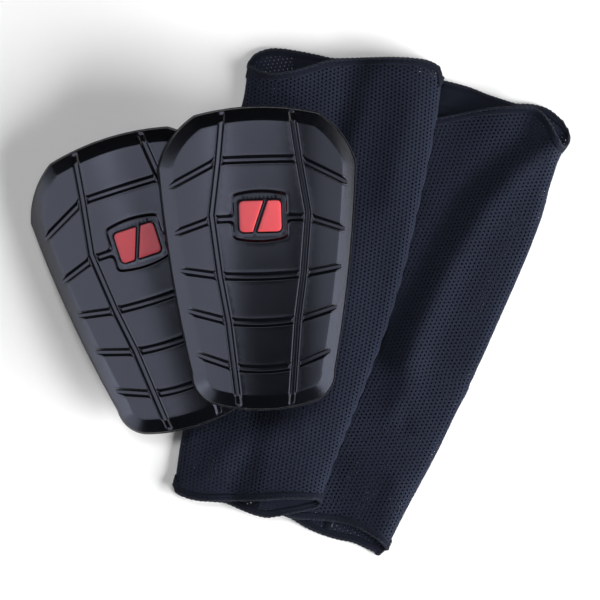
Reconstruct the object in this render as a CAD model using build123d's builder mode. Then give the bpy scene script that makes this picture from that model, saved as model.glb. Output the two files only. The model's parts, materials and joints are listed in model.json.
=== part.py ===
from build123d import *
import math
import os

# A pair of slip-in shin guards and the pair of compression sleeves that hold them, laid flat
# on a table: right sleeve lowest, left sleeve across it, left guard, then right guard on top.
# Millimetres, +X right, +Y up the leg, +Z up from the table.
# Each guard has its own frame: x across, y up the shin, z = 0 at the crown of its front face.
# Each sleeve has its own frame: x across, y up the leg, z = 0 on the table.

# Guard: plan outline, symmetric about x = 0
TOP_MIDDLE = 88.6
TOP_CORNER = (37.0, 84.3)
SLANT_MIDDLE = (47.6, 75.4)
SHOULDER = (59.2, 54.5)
SIDE_MIDDLE = (54.4, 2.0)
LOWER_SIDE = (42.6, -69.0)
LOWER_CORNER = (38.9, -81.0)
BOTTOM_CORNER = (29.5, -87.4)
BOTTOM_MIDDLE = -91.6

# Guard: curvature and layers, depths measured below the front face
CROWN_RADIUS = 135.0
SHIN_RADIUS = 1200.0
BEVEL_WIDTH = 8.3
BEVEL_DROP = 3.6
GROOVE_DEPTH = 1.5
FOAM_DEPTH = 2.8
LINER_DEPTH = 5.6
GUARD_THICKNESS = 6.4
FOAM_INSET = 6.0
LINER_OVERHANG = 0.6
INLAY_DEPTH = 0.2
GUARD_REACH = 60.0

# Guard: moulded grooves. Each row is its inner end on the column groove, its outer end near the
# side, and its height where it crosses the middle.
GROOVE_WIDTH = 3.4
COLUMN_GROOVE = [
    (19.9, 92.0),
    (24.1, 57.0),
    (28.8, 25.0),
    (27.4, 11.6),
    (24.9, -11.5),
    (20.6, -38.6),
    (17.7, -66.0),
    (15.2, -95.0),
]
ROWS = [
    ((24.1, 57.0), (55.6, 41.1), 57.2),
    ((28.6, 22.0), (52.8, 13.9), 22.2),
    ((24.9, -11.5), (49.7, -7.3), -12.6),
    ((20.6, -38.6), (46.2, -31.1), -40.1),
    ((17.7, -66.0), (42.4, -56.7), -67.7),
]

# Guard: badge recess and its two inlays
BADGE_CENTRE = 23.4
RECESS_HALF_WIDTH = 15.9
RECESS_HALF_HEIGHT = 12.6
RECESS_RISE = 2.2
RECESS_CORNER = 3.0
INLAY_WIDTH = 25.0
INLAY_HEIGHT = 18.6
INLAY_CORNER = 3.0
INLAY_GAP = 2.6
INLAY_SLANT = 20.0

# Sleeve: fabric tube pressed flat
SLEEVE_THICKNESS = 8.0
FABRIC = 1.0
HEM_FABRIC = 1.6
HEM_WIDTH = 3.0
OVERLOCK_WIDTH = 1.2
OVERLOCK_INSET = 0.3
TOP_HALF_WIDTH = 58.5
ANKLE_HALF_WIDTH = 44.5
HALF_LENGTH = 141.0
EDGE_RADIUS = SLEEVE_THICKNESS / 2
PANEL = 0.8
# The tube is lofted longer than the sleeve, then trimmed at both mouths. Each mouth plane leans back
# by MOUTH_SLOPE, so that the front layer is the shorter, and the left sleeve's are slanted as well.
OVERRUN = 170.0
MOUTH_SLOPE = 0.6
TOP_SLANT = 10.0
ANKLE_SLANT = 7.0
# Each sleeve's right side bulges out over the calf: height up the leg, and how far past the taper.
RIGHT_SLEEVE_BULGE = [
    (-OVERRUN, 0.0),
    (-134.0, 0.0),
    (-84.0, 5.3),
    (-34.0, 10.2),
    (20.0, 12.9),
    (70.0, 14.4),
    (118.0, 11.6),
    (OVERRUN, 4.1),
]
LEFT_SLEEVE_BULGE = [
    (-OVERRUN, -2.0),
    (-119.0, -2.0),
    (-93.5, 0.3),
    (-55.0, 4.6),
    (-17.0, 8.2),
    (20.0, 9.1),
    (57.0, 7.6),
    (94.0, 5.5),
    (130.0, 1.7),
    (OVERRUN, 0.0),
]
SEAM_WIDTH = 4.0
SEAM_X = 6.0
POCKET_WIDTH = 84.0
POCKET_BOTTOM = -66.0
POCKET_TOP = 122.0
POCKET_CORNER = 12.0
# The left sleeve steps up over the right sleeve's edge, clear of it by the gap.
LAY_GAP = 0.3
DRAPE_FILLET = 9.0

# Where each piece lies: x, y of its centre and its turn about +Z in degrees
RIGHT_SLEEVE_LAY = (54.5, -5.35, -18.5)
LEFT_SLEEVE_LAY = (-1.1, 12.05, -12.6)
LEFT_GUARD_LAY = (-89.8, 12.55, 17.5)
RIGHT_GUARD_LAY = (-22.5, 27.05, 1.7)
# A guard's roll about its own long axis, and the height of its crown above the table
LEFT_GUARD_ROLL = -3.0
RIGHT_GUARD_ROLL = 3.25
LEFT_GUARD_CROWN = 25.7
RIGHT_GUARD_CROWN = 42.9


def mirrored(point):
    return (-point[0], point[1])


def same(point):
    return point


def arch(depth):
    """The solid below the guard's doubly curved face, at this depth under the front."""
    reach = GUARD_REACH * 2
    end_height = math.sqrt((SHIN_RADIUS - depth) ** 2 - reach**2) - SHIN_RADIUS
    with BuildPart() as solid:
        with BuildSketch(Plane.YZ):
            with BuildLine():
                ThreePointArc((-reach, end_height), (0, -depth), (reach, end_height))
                Polyline(
                    (reach, end_height), (reach, -CROWN_RADIUS), (-reach, -CROWN_RADIUS), (-reach, end_height)
                )
            make_face()
        revolve(axis=Axis((0, 0, -CROWN_RADIUS), (0, 1, 0)))
    return solid.part


front_face = arch(0)
groove_face = arch(GROOVE_DEPTH)
foam_face = arch(FOAM_DEPTH)
liner_face = arch(LINER_DEPTH)
guard_base = Plane.XY.offset(-GUARD_REACH)

# Plan outline of the guard.
with BuildSketch() as outline:
    with BuildLine():
        ThreePointArc(mirrored(TOP_CORNER), (0, TOP_MIDDLE), TOP_CORNER)
        for side in (same, mirrored):
            ThreePointArc(side(TOP_CORNER), side(SLANT_MIDDLE), side(SHOULDER))
            ThreePointArc(side(SHOULDER), side(SIDE_MIDDLE), side(LOWER_SIDE))
            ThreePointArc(side(LOWER_SIDE), side(LOWER_CORNER), side(BOTTOM_CORNER))
        ThreePointArc(mirrored(BOTTOM_CORNER), (0, BOTTOM_MIDDLE), BOTTOM_CORNER)
    make_face()

# Foam core: the pad sealed between the shell and the liner.
with BuildPart() as foam:
    with BuildSketch(guard_base):
        add(outline.sketch)
        offset(amount=-FOAM_INSET)
    extrude(amount=GUARD_REACH)
    add(foam_face, mode=Mode.INTERSECT)
    add(liner_face, mode=Mode.SUBTRACT)

# Liner: the fabric backing, a little larger than the shell so that its edge shows.
with BuildPart() as liner:
    with BuildSketch(guard_base):
        add(outline.sketch)
        offset(amount=LINER_OVERHANG)
    extrude(amount=GUARD_REACH)
    add(liner_face, mode=Mode.INTERSECT)
    add(arch(GUARD_THICKNESS), mode=Mode.SUBTRACT)

# Everything moulded down to the groove floor: the columns, the rows and the badge recess.
with BuildPart() as moulding:
    with BuildSketch(guard_base):
        for side in (same, mirrored):
            with BuildLine():
                Polyline(*[side(point) for point in COLUMN_GROOVE])
            trace(line_width=GROOVE_WIDTH)
            for inner, outer, _ in ROWS:
                with BuildLine():
                    Line(side(inner), side(outer))
                trace(line_width=GROOVE_WIDTH)
        for inner, _, middle in ROWS:
            with BuildLine():
                ThreePointArc(mirrored(inner), (0, middle), inner)
            trace(line_width=GROOVE_WIDTH)
        with BuildSketch(mode=Mode.ADD) as recess:
            top = BADGE_CENTRE + RECESS_HALF_HEIGHT
            bottom = BADGE_CENTRE - RECESS_HALF_HEIGHT
            with BuildLine():
                reach = RECESS_HALF_WIDTH
                ThreePointArc((-reach, top), (0, top + RECESS_RISE), (reach, top))
                Line((reach, top), (reach, bottom))
                ThreePointArc((reach, bottom), (0, bottom - RECESS_RISE), (-reach, bottom))
                Line((-reach, bottom), (-reach, top))
            make_face()
            fillet(recess.vertices(), RECESS_CORNER)
    extrude(amount=GUARD_REACH * 2)
    add(groove_face, mode=Mode.SUBTRACT)

# Shell: the moulded front, with a bevelled rim that reaches down to the liner.
with BuildPart() as shell:
    with BuildSketch(guard_base):
        add(outline.sketch)
    extrude(amount=GUARD_REACH * 2)
    add(front_face, mode=Mode.INTERSECT)
    crown = shell.faces().sort_by(Axis.Z)[-1]
    chamfer(crown.edges(), length=BEVEL_WIDTH, length2=BEVEL_DROP, reference=crown)
    add(liner_face, mode=Mode.SUBTRACT)
    add(foam.part, mode=Mode.SUBTRACT)
    add(moulding.part, mode=Mode.SUBTRACT)

# Mark outline: a rounded plate, split by one slanted channel.
with BuildSketch(Plane((0, BADGE_CENTRE, 0))) as mark:
    RectangleRounded(INLAY_WIDTH, INLAY_HEIGHT, INLAY_CORNER)
    Rectangle(INLAY_GAP, INLAY_HEIGHT * 2, rotation=-INLAY_SLANT, mode=Mode.SUBTRACT)

# The two halves of the mark, standing on the recess floor.
with BuildPart() as inlays:
    with BuildSketch(guard_base):
        add(mark.sketch)
    extrude(amount=GUARD_REACH * 2)
    add(arch(INLAY_DEPTH), mode=Mode.INTERSECT)
    add(groove_face, mode=Mode.SUBTRACT)


def half_width(height):
    """Half of the sleeve's pressed width at this height up the leg."""
    middle = (TOP_HALF_WIDTH + ANKLE_HALF_WIDTH) / 2
    taper = (TOP_HALF_WIDTH - ANKLE_HALF_WIDTH) / (2 * HALF_LENGTH)
    return middle + taper * height


def flat_path(height, bulge):
    """Centre line of the section of a sleeve that lies flat on the table."""
    reach = half_width(height) - EDGE_RADIUS
    return [(-reach, EDGE_RADIUS), (reach + bulge, EDGE_RADIUS)]


def placed(lay, height=0.0, roll=0.0):
    """Location on the table: turned about +Z, after a roll about the piece's own long axis."""
    x, y, turn = lay
    return Pos(x, y, height) * Rot(0, 0, turn) * Rot(0, roll, 0)


def lower_edge(height):
    """Where the right sleeve's left edge passes under the left sleeve, in the left sleeve's frame."""
    on_table = placed(RIGHT_SLEEVE_LAY) * Pos(-half_width(height), height, 0)
    return (placed(LEFT_SLEEVE_LAY).inverse() * on_table).position


def draped_path(height, bulge):
    """Centre line of the section of a sleeve whose right side lies on the other sleeve's edge."""
    reach = half_width(height) - EDGE_RADIUS
    top, ankle = lower_edge(HALF_LENGTH), lower_edge(-HALF_LENGTH)
    step = ankle.X + (top.X - ankle.X) * (height - ankle.Y) / (top.Y - ankle.Y)
    rise = SLEEVE_THICKNESS + LAY_GAP
    raised = EDGE_RADIUS + rise
    return [(-reach, EDGE_RADIUS), (step - rise, EDGE_RADIUS), (step, raised), (reach + bulge, raised)]


def sleeve_solid(stations, inset):
    """Lofts the pressed tube through its stations, with its surface moved inward by the inset."""
    with BuildPart() as solid:
        for height, path in stations:
            with BuildSketch(Plane.XZ.offset(-height)):
                with BuildLine():
                    if len(path) == 2:
                        Line(*path)
                    else:
                        FilletPolyline(*path, radius=DRAPE_FILLET)
                    offset(amount=EDGE_RADIUS - inset, side=Side.BOTH, mode=Mode.REPLACE)
                make_face()
        loft(ruled=True)
    return solid.part


def mouth(height, slant, end):
    """Plane that trims one end, facing out of the sleeve: end is 1 at the top, -1 at the ankle."""
    turn = math.radians(slant)
    return Plane((0, height, 0), z_dir=(-end * math.sin(turn), end * math.cos(turn), MOUTH_SLOPE))


def between(solid, lower, upper):
    """The stretch of a solid between two planes that face away from each other."""
    with BuildPart() as stretch:
        add(solid)
        split(bisect_by=upper, keep=Keep.BOTTOM)
        split(bisect_by=lower, keep=Keep.BOTTOM)
    return stretch.part


def hem_pieces(name, solids, rim):
    """The folded hem band inside the mouth plane and the overlock thread along its raw edge."""
    back_of_hem = Plane(rim.origin, rim.x_dir, -rim.z_dir).offset(HEM_WIDTH)
    with BuildPart() as band:
        add(solids["skin"])
        add(solids["hem"], mode=Mode.SUBTRACT)
    with BuildPart() as thread:
        add(solids["thread"])
        add(solids["hem"], mode=Mode.SUBTRACT)
    back_of_thread = Plane(rim.origin, rim.x_dir, -rim.z_dir)
    return {
        name + "_hem": between(band.part, back_of_hem, rim),
        name + "_overlock": between(thread.part, back_of_thread, rim.offset(OVERLOCK_WIDTH)),
    }


def sleeve_pieces(stations, top_rim, ankle_rim):
    """All the pieces of one sleeve, in its own frame."""
    insets = {
        "skin": 0,
        "thread": OVERLOCK_INSET,
        "fabric": FABRIC,
        "hem": HEM_FABRIC,
        "inside": FABRIC + PANEL,
    }
    solids = {name: sleeve_solid(stations, inset) for name, inset in insets.items()}
    below_top_hem = top_rim.offset(-HEM_WIDTH)
    above_ankle_hem = ankle_rim.offset(-HEM_WIDTH)
    with BuildPart() as tube:
        add(solids["skin"])
        add(solids["fabric"], mode=Mode.SUBTRACT)
    with BuildPart() as strip:
        with BuildSketch():
            with Locations((SEAM_X, 0)):
                Rectangle(SEAM_WIDTH, 3 * HALF_LENGTH)
        extrude(amount=3 * SLEEVE_THICKNESS)
        add(solids["fabric"], mode=Mode.INTERSECT)
        add(solids["inside"], mode=Mode.SUBTRACT)
    with BuildPart() as panel:
        with BuildSketch():
            with Locations((0, (POCKET_TOP + POCKET_BOTTOM) / 2)):
                RectangleRounded(POCKET_WIDTH, POCKET_TOP - POCKET_BOTTOM, POCKET_CORNER)
        extrude(amount=3 * SLEEVE_THICKNESS)
        add(solids["fabric"], mode=Mode.INTERSECT)
        add(solids["inside"], mode=Mode.SUBTRACT)
    seam = strip.solids().sort_by(Axis.Z)[0]
    return {
        "tube": between(tube.part, above_ankle_hem, below_top_hem),
        "back_seam": between(seam, above_ankle_hem, below_top_hem),
        "pocket_panel": panel.solids().sort_by(Axis.Z)[-1],
        **hem_pieces("top", solids, top_rim),
        **hem_pieces("ankle", solids, ankle_rim),
    }


def guard_pieces():
    """All the pieces of one guard, in its own frame. Both guards come from one mould."""
    left_inlay, right_inlay = inlays.solids().sort_by(Axis.X)
    return {
        "shell": shell.part,
        "foam_core": foam.part,
        "liner": liner.part,
        "left_inlay": left_inlay,
        "right_inlay": right_inlay,
    }


def lay_down(prefix, pieces, place):
    """Moves the finished pieces to where they lie, and writes one file for each."""
    for name, piece in pieces.items():
        laid = piece.moved(place)
        laid.label = f"{prefix}_{name}"
        export_step(laid, f"parts/{laid.label}.step")


os.makedirs("parts", exist_ok=True)

flat_stations = [(height, flat_path(height, bulge)) for height, bulge in RIGHT_SLEEVE_BULGE]
draped_stations = [(height, draped_path(height, bulge)) for height, bulge in LEFT_SLEEVE_BULGE]

right_sleeve = sleeve_pieces(flat_stations, mouth(HALF_LENGTH, 0, 1), mouth(-HALF_LENGTH, 0, -1))
left_sleeve = sleeve_pieces(
    draped_stations, mouth(HALF_LENGTH, TOP_SLANT, 1), mouth(-HALF_LENGTH, ANKLE_SLANT, -1)
)
lay_down("right_sleeve", right_sleeve, placed(RIGHT_SLEEVE_LAY))
lay_down("left_sleeve", left_sleeve, placed(LEFT_SLEEVE_LAY))
lay_down("left_guard", guard_pieces(), placed(LEFT_GUARD_LAY, LEFT_GUARD_CROWN, LEFT_GUARD_ROLL))
lay_down("right_guard", guard_pieces(), placed(RIGHT_GUARD_LAY, RIGHT_GUARD_CROWN, RIGHT_GUARD_ROLL))
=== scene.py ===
import json
import math

import bmesh
import bpy
import numpy as np
from mathutils import Matrix, Vector
from mathutils.geometry import delaunay_2d_cdt


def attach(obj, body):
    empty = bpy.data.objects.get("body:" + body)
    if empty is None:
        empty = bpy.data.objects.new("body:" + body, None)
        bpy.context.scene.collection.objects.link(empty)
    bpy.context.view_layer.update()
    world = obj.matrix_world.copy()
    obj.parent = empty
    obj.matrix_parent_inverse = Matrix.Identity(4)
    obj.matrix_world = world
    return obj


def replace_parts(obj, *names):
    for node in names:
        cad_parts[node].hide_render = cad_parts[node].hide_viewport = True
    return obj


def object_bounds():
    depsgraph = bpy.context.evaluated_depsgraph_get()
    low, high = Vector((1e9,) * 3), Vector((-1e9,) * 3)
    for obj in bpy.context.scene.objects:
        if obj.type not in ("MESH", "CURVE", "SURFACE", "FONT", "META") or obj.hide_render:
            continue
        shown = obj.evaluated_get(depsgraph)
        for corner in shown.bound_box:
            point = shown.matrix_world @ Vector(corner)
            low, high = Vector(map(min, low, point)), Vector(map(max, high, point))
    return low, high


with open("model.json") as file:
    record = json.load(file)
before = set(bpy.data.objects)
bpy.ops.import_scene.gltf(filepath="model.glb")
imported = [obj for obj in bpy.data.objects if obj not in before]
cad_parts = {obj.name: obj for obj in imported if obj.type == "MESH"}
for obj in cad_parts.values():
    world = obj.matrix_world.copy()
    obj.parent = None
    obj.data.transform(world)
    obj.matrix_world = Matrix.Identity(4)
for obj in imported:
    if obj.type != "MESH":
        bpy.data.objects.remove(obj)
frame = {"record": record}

# The looks of a pair of shin guards and the two compression sleeves they slip into, laid on a table.
# Shapes are worked out in millimetres, each in its piece's own frame, and become metres in make_piece.
# A guard's frame: x across, y up the shin, z = 0 at the crown of its front. Depths go down from there.
# A sleeve's frame: x across, y up the leg, z = 0 on the table.

cad_low, cad_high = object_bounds()
MM = 0.001

# Guard: plan outline, symmetric about x = 0
TOP_MIDDLE = (0.0, 88.6)
TOP_CORNER = (37.0, 84.3)
SLANT_MIDDLE = (47.6, 75.4)
SHOULDER = (59.2, 54.5)
SIDE_MIDDLE = (54.4, 2.0)
LOWER_SIDE = (42.6, -69.0)
LOWER_CORNER = (38.9, -81.0)
BOTTOM_CORNER = (29.5, -87.4)
BOTTOM_MIDDLE = (0.0, -91.6)

# Guard: curvature and layers
CROWN_RADIUS = 135.0
SHIN_RADIUS = 1200.0
BEVEL_WIDTH = 8.3
BEVEL_DROP = 3.6
RIM_RADIUS = 0.9
FOAM_DEPTH = 2.8
LINER_DEPTH = 5.6
GUARD_THICKNESS = 6.4
FOAM_INSET = 6.0
LINER_OVERHANG = 0.6

# Guard: moulded grooves. Each row is its inner end on the column groove, its outer end near the
# side, and its height where it crosses the middle.
GROOVE_DEPTH = 1.5
GROOVE_HALF_WIDTH = 1.55
WALL_HALF_WIDTH = 0.85
GROOVE_BLEND = 3.0
ROW_END_GAP = 1.3
COLUMN_STEP = 0.9
LIP_HEIGHT = 0.2
LIP_OFFSET = 1.15
LIP_HALF_WIDTH = 0.5
COLUMN_GROOVE = [(19.4, 97.0), (24.1, 57.0), (28.8, 25.0), (24.9, -11.5), (20.6, -38.6), (14.7, -100.0)]
ROWS = [
    ((24.1, 57.0), (55.6, 41.1), 57.2),
    ((28.6, 22.0), (52.8, 13.9), None),
    ((24.9, -11.5), (49.7, -7.3), -12.6),
    ((20.6, -38.6), (46.2, -31.1), -40.1),
    ((17.7, -66.0), (42.4, -56.7), -67.7),
]
STUB_HEIGHT = 22.2

# Guard: badge recess and its inlays
BADGE_CENTRE = 23.4
RECESS_HALF_WIDTH = 15.9
RECESS_HALF_HEIGHT = 12.6
RECESS_RISE = 2.2
RECESS_CORNER = 3.0
INLAY_WIDTH = 25.0
INLAY_HEIGHT = 18.6
INLAY_CORNER = 3.0
INLAY_GAP = 2.6
INLAY_SLANT = math.radians(20)
INLAY_DEPTH = 0.2
MOAT_DEPTH = 0.9
MOAT_HALF_WIDTH = 0.65
MOAT_OFFSET = 0.4

# Turn about +Z, then roll about the guard's long axis
GUARD_TURNS = {"left_guard": (17.5, -3.0), "right_guard": (1.7, 3.25)}

# Sleeve: fabric tube pressed flat
TOP_HALF_WIDTH = 58.5
ANKLE_HALF_WIDTH = 44.5
HALF_LENGTH = 141.0
MESH_LIFT = 0.5
HOLE_COLUMN_STEP = 2.38
HOLE_ROW_STEP = 2.32
HOLE_RADIUS = 0.66
BACK_HOLE_CLOSING = 0.5
SIDE_HOLE_CLOSING = 0.7
FOLD_RADIUS = 3.0
SEAM_X = 6.0
POCKET_BOTTOM = -66.0
MOUTH_ROW = 134.0
MOUTH_LIFT = 0.85
MOUTH_LIFT_REACH = 5.0
SIDE_LOFT = 2.7
MIDDLE_LOFT = 3.2
LOFT_REACH = 8.0
LEAST_LOFT = 1.6


# ------------------------------------------------------------------ general helpers

def smoothstep(low, high, x):
    t = np.clip((x - low) / (high - low), 0, 1)
    return t * t * (3 - 2 * t)


def bump(x):
    """1 at x = 0, falling smoothly to 0 at x = -1 and x = 1."""
    return np.where(np.abs(x) < 1, (1 - np.minimum(x * x, 1)) ** 2, 0)


def curve_through(knots, x):
    """Smooth curve through a few (x, value) knots, with the slopes of its neighbours at each knot."""
    xs, ys = np.array(knots, float).T
    slopes = np.gradient(ys, xs)
    i = np.clip(np.searchsorted(xs, x) - 1, 0, len(xs) - 2)
    span = xs[i + 1] - xs[i]
    t = np.clip((x - xs[i]) / span, 0, 1)
    return (
        (1 + 2 * t) * (1 - t) ** 2 * ys[i]
        + t * (1 - t) ** 2 * span * slopes[i]
        + t * t * (3 - 2 * t) * ys[i + 1]
        + t * t * (t - 1) * span * slopes[i + 1]
    )


def mirrored(point):
    return (-point[0], point[1])


def arc_points(start, middle, end, spacing):
    """Points along the circle arc through three points, without its end."""
    (ax, ay), (bx, by), (cx, cy) = start, middle, end
    d = 2 * (ax * (by - cy) + bx * (cy - ay) + cx * (ay - by))
    a, b, c = ax * ax + ay * ay, bx * bx + by * by, cx * cx + cy * cy
    ox = (a * (by - cy) + b * (cy - ay) + c * (ay - by)) / d
    oy = (a * (cx - bx) + b * (ax - cx) + c * (bx - ax)) / d
    radius = math.hypot(ax - ox, ay - oy)
    first = math.atan2(ay - oy, ax - ox)
    turn = math.remainder(math.atan2(by - oy, bx - ox) - first, 2 * math.pi)
    turn += math.remainder(math.atan2(cy - oy, cx - ox) - math.atan2(by - oy, bx - ox), 2 * math.pi)
    count = max(2, round(abs(turn) * radius / spacing))
    angles = first + turn * np.arange(count) / count
    return np.stack([ox + radius * np.cos(angles), oy + radius * np.sin(angles)], axis=1)


def rounded_polygon(corners, radii, steps=6):
    """Closed loop round the corners, each rounded to its radius."""
    corners = np.array(corners, float)
    before = np.roll(corners, 1, 0) - corners
    after = np.roll(corners, -1, 0) - corners
    points = []
    for corner, back, ahead, radius in zip(corners, before, after, radii):
        back = back / np.linalg.norm(back)
        ahead = ahead / np.linalg.norm(ahead)
        half = math.acos(float(np.clip(back @ ahead, -1, 1))) / 2
        cut = radius / math.tan(half)
        start, end = corner + back * cut, corner + ahead * cut
        for t in np.linspace(0, 1, steps + 1):
            points.append((1 - t) ** 2 * start + 2 * t * (1 - t) * corner + t * t * end)
    return np.array(points)


def line_distance(points, line):
    """Distance from each point to the polyline."""
    nearest = np.full(len(points), np.inf)
    for start, end in zip(line[:-1], line[1:]):
        along = end - start
        t = np.clip((points - start) @ along / (along @ along), 0, 1)
        off = points - start - t[:, None] * along
        nearest = np.minimum(nearest, np.hypot(off[:, 0], off[:, 1]))
    return nearest


def inside(points, loop):
    """True where a point is inside the closed loop."""
    x, y = points.T
    result = np.zeros(len(points), bool)
    for (ax, ay), (bx, by) in zip(loop, np.roll(loop, -1, 0)):
        if ay != by:
            crosses = (ay > y) != (by > y)
            result ^= crosses & (x < ax + (bx - ax) * (y - ay) / (by - ay))
    return result


def loop_distance(points, loop):
    """Distance to the closed loop, negative inside it."""
    distance = line_distance(points, np.vstack([loop, loop[:1]]))
    return np.where(inside(points, loop), -distance, distance)


def smooth_min(a, b, blend):
    share = np.clip(0.5 + 0.5 * (b - a) / blend, 0, 1)
    return b * (1 - share) + a * share - blend * share * (1 - share)


def moved_in(loop, distance):
    """The loop, which runs counterclockwise, with each point moved inward."""
    along = np.roll(loop, -1, 0) - np.roll(loop, 1, 0)
    along /= np.linalg.norm(along, axis=1)[:, None]
    return loop + distance * np.stack([-along[:, 1], along[:, 0]], axis=1)


def hex_points(low, high, spacing):
    """A hexagonal grid of points over a box."""
    rise = spacing * math.sqrt(3) / 2
    rows = int((high[1] - low[1]) / rise) + 1
    columns = int((high[0] - low[0]) / spacing) + 1
    row, column = np.mgrid[0:rows, 0:columns].reshape(2, -1)
    return np.stack([low[0] + (column + 0.5 * (row % 2)) * spacing, low[1] + row * rise], axis=1)


def loop_edges(first, count):
    """Index pairs that close a run of points into a loop."""
    return [(first + i, first + (i + 1) % count) for i in range(count)]


def skirt(upper, lower):
    """Quads that join two loops, each given as the indices of the same number of points."""
    return np.column_stack([np.roll(upper, -1), upper, lower, np.roll(lower, -1)])


def triangulate(points, edges):
    """Delaunay triangles over the points that keep the given edges, turned counterclockwise."""
    made = delaunay_2d_cdt([Vector(p) for p in points], edges, [], 0, 1e-6)
    return np.array([tuple(p) for p in made[0]]), np.array(made[2])


def strip_faces(rings, around, closed_along=False, closed_around=True):
    """Quads that join a stack of rings, each with the same number of points."""
    last_ring = rings if closed_along else rings - 1
    last_step = around if closed_around else around - 1
    ring, step = np.mgrid[0:last_ring, 0:last_step].reshape(2, -1)
    next_ring, next_step = (ring + 1) % rings, (step + 1) % around
    corners = [(ring, step), (ring, next_step), (next_ring, next_step), (next_ring, step)]
    return np.stack([r * around + s for r, s in corners], axis=1)


def make_piece(body, name, points, faces, place, material, uvs=None, normals=None, flat_from=None):
    """A mesh piece from points in millimetres in its own frame. It rides on its body and stands for the
    CAD node of its name. uvs holds one pair for each point, in millimetres. Points with a zero normal
    keep the mesh's own. Faces from the index flat_from onward are flat shaded."""
    turn, origin = np.array(place.to_3x3()), np.array(place.translation)
    world = np.asarray(points) * MM @ turn.T + origin
    mesh = bpy.data.meshes.new(f"{body}.{name}")
    mesh.from_pydata(world.tolist(), [], [list(map(int, face)) for face in faces])
    mesh.shade_smooth()
    if flat_from is not None:
        mesh.polygons.foreach_set("use_smooth", np.arange(len(mesh.polygons)) < flat_from)
    if uvs is not None:
        corner_points = np.zeros(len(mesh.loops), np.int32)
        mesh.loops.foreach_get("vertex_index", corner_points)
        layer = mesh.uv_layers.new(name="cloth")
        layer.data.foreach_set("uv", (np.asarray(uvs)[corner_points] * MM).astype(np.float32).ravel())
    if normals is not None:
        mesh.normals_split_custom_set_from_vertices((normals @ turn.T).tolist())
    piece = bpy.data.objects.new(f"{body}.{name}", mesh)
    bpy.context.scene.collection.objects.link(piece)
    mesh.materials.append(material)
    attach(piece, body)
    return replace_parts(piece, f"{body}_{name}")


def turned_out(points, faces):
    """The faces of a closed mesh, all turned to face outward."""
    mesh = bmesh.new()
    corners = [mesh.verts.new(point) for point in points]
    made = [mesh.faces.new([corners[i] for i in face]) for face in faces]
    mesh.verts.index_update()
    bmesh.ops.recalc_face_normals(mesh, faces=made)
    turned = [[corner.index for corner in face.verts] for face in made]
    mesh.free()
    return turned


# ------------------------------------------------------------------ materials

class Nodes:
    """A material's node tree, with short ways to add and join nodes."""

    def __init__(self, name, colour, roughness, specular=0.5):
        self.material = bpy.data.materials.new(name)
        self.material.use_nodes = True
        self.tree = self.material.node_tree
        self.shader = self.tree.nodes["Principled BSDF"]
        self.shader.inputs["Base Color"].default_value = (*colour, 1)
        self.shader.inputs["Roughness"].default_value = roughness
        self.shader.inputs["Specular IOR Level"].default_value = specular

    def add(self, kind, settings=None, **inputs):
        node = self.tree.nodes.new(kind)
        for key, value in (settings or {}).items():
            setattr(node, key, value)
        for key, value in inputs.items():
            self.set(node, key.replace("_", " "), value)
        return node

    def set(self, node, key, value):
        socket = node.inputs[int(key)] if key.isdigit() else node.inputs[key]
        if isinstance(value, bpy.types.NodeSocket):
            self.tree.links.new(value, socket)
        else:
            socket.default_value = value

    def math(self, operation, first, second=0.0, third=0.0):
        node = self.tree.nodes.new("ShaderNodeMath")
        node.operation = operation
        for index, value in enumerate((first, second, third)):
            self.set(node, str(index), value)
        return node.outputs[0]

    def noise(self, scale, detail=3.0, roughness=0.5, vector=None):
        node = self.add("ShaderNodeTexNoise", Scale=scale, Detail=detail, Roughness=roughness)
        self.set(node, "Vector", vector or self.own_place())
        return node.outputs["Fac"]

    def own_place(self):
        return self.add("ShaderNodeTexCoord").outputs["Object"]

    def cloth_phases(self, across, along):
        """Phases of waves with these lengths, in millimetres, across and along the cloth."""
        cloth = self.add("ShaderNodeUVMap", {"uv_map": "cloth"}).outputs["UV"]
        place = self.add("ShaderNodeSeparateXYZ", Vector=cloth)
        lengths = {"X": across, "Y": along}
        return [
            self.math("MULTIPLY", place.outputs[axis], 2 * math.pi / (length * MM))
            for axis, length in lengths.items()
        ]

    def ridges(self, phase):
        return self.math("ABSOLUTE", self.math("SINE", phase))

    def ramp(self, value, stops):
        node = self.add("ShaderNodeValToRGB")
        for index, (position, colour) in enumerate(stops):
            if index >= len(node.color_ramp.elements):
                node.color_ramp.elements.new(position)
            node.color_ramp.elements[index].position = position
            node.color_ramp.elements[index].color = (*colour, 1)
        self.set(node, "Fac", value)
        return node.outputs["Color"]

    def range(self, value, low, high):
        """Turns a 0 to 1 value into low to high."""
        return self.math("MULTIPLY_ADD", value, high - low, low)

    def bump(self, height, distance, strength=1.0):
        node = self.add("ShaderNodeBump", Height=height, Distance=distance, Strength=strength)
        self.tree.links.new(node.outputs["Normal"], self.shader.inputs["Normal"])

    def drive(self, socket, value):
        self.tree.links.new(value, self.shader.inputs[socket])


def tints(colour, spread):
    """Darker and lighter versions of a colour."""
    return [tuple(c * (1 - spread) for c in colour), tuple(c * (1 + spread) for c in colour)]


def moulded_plastic(name, colour, roughness, grain, spread):
    """Satin moulded plastic: a fine spark-eroded grain and slightly uneven gloss."""
    nodes = Nodes(name, colour, roughness)
    darker, lighter = tints(colour, spread)
    cloud = nodes.noise(28, detail=4)
    nodes.drive("Base Color", nodes.ramp(cloud, [(0.3, darker), (0.7, lighter)]))
    smear = nodes.noise(90, detail=6, roughness=0.6)
    nodes.drive("Roughness", nodes.range(smear, roughness - 0.03, roughness + 0.03))
    fine = nodes.noise(2600, detail=2)
    waves = nodes.noise(60, detail=2)
    height = nodes.math("MULTIPLY_ADD", waves, 2.0, fine)
    nodes.bump(height, grain)
    return nodes.material


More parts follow.
